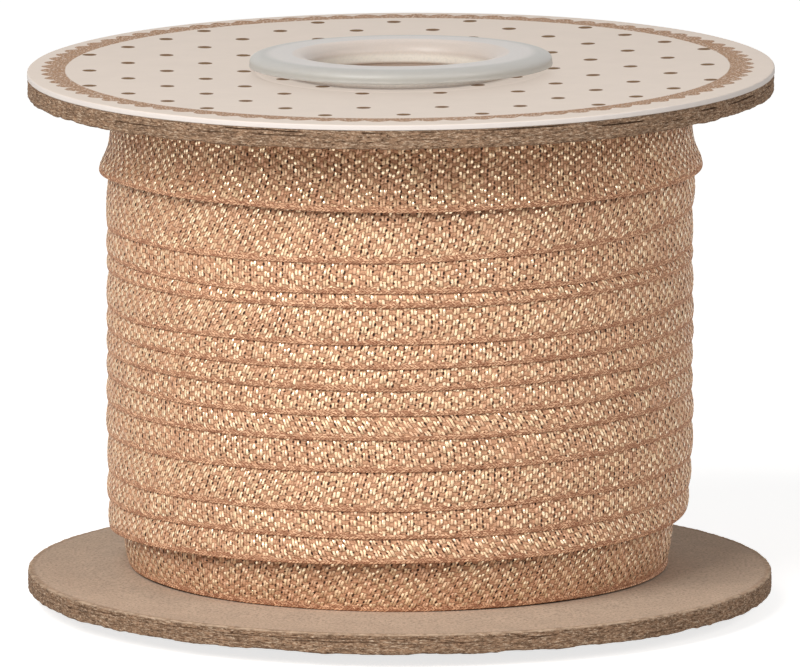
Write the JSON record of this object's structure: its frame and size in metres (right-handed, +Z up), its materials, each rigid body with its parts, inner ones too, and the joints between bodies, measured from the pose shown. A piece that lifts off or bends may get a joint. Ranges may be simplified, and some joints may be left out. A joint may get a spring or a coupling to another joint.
{
  "type": "ribbon spool",
  "caption": "Round board-ended spool on a snap-together plastic hub with an open bore, wound with narrow woven metallic ribbon for wrapping gifts.",
  "frame": {"origin": "on the spool's axis, in the plane of the lower hub flange that the spool stands on", "axes": "+Z up along the spool's axis, towards the printed label; -Y is the front"},
  "size_m": [0.07, 0.07, 0.0523],
  "materials": {
    "disc_board": "bare grey-brown greyboard, matt, layered fibres on the cut edge",
    "label_paper": "uncoated cream paper printed with staggered tan dots and a scalloped tan border",
    "core_board": "spiral-wound brown paper tube, matt",
    "hub_plastic": "translucent milky white polypropylene, satin",
    "ribbon_cloth": "plain-woven peach and gold metallic ribbon, glittering",
    "tape_film": "thin clear film, glossy"
  },
  "bodies": {
    "root": {"top_disc": "disc_board", "bottom_disc": "disc_board", "top_label": "label_paper", "core_tube": "core_board", "hub_top": "hub_plastic", "hub_bottom": "hub_plastic", "ribbon_inner_layers": "ribbon_cloth", "ribbon_outer_layer": "ribbon_cloth", "end_tape": "tape_film"}
  },
  "joints": []
}
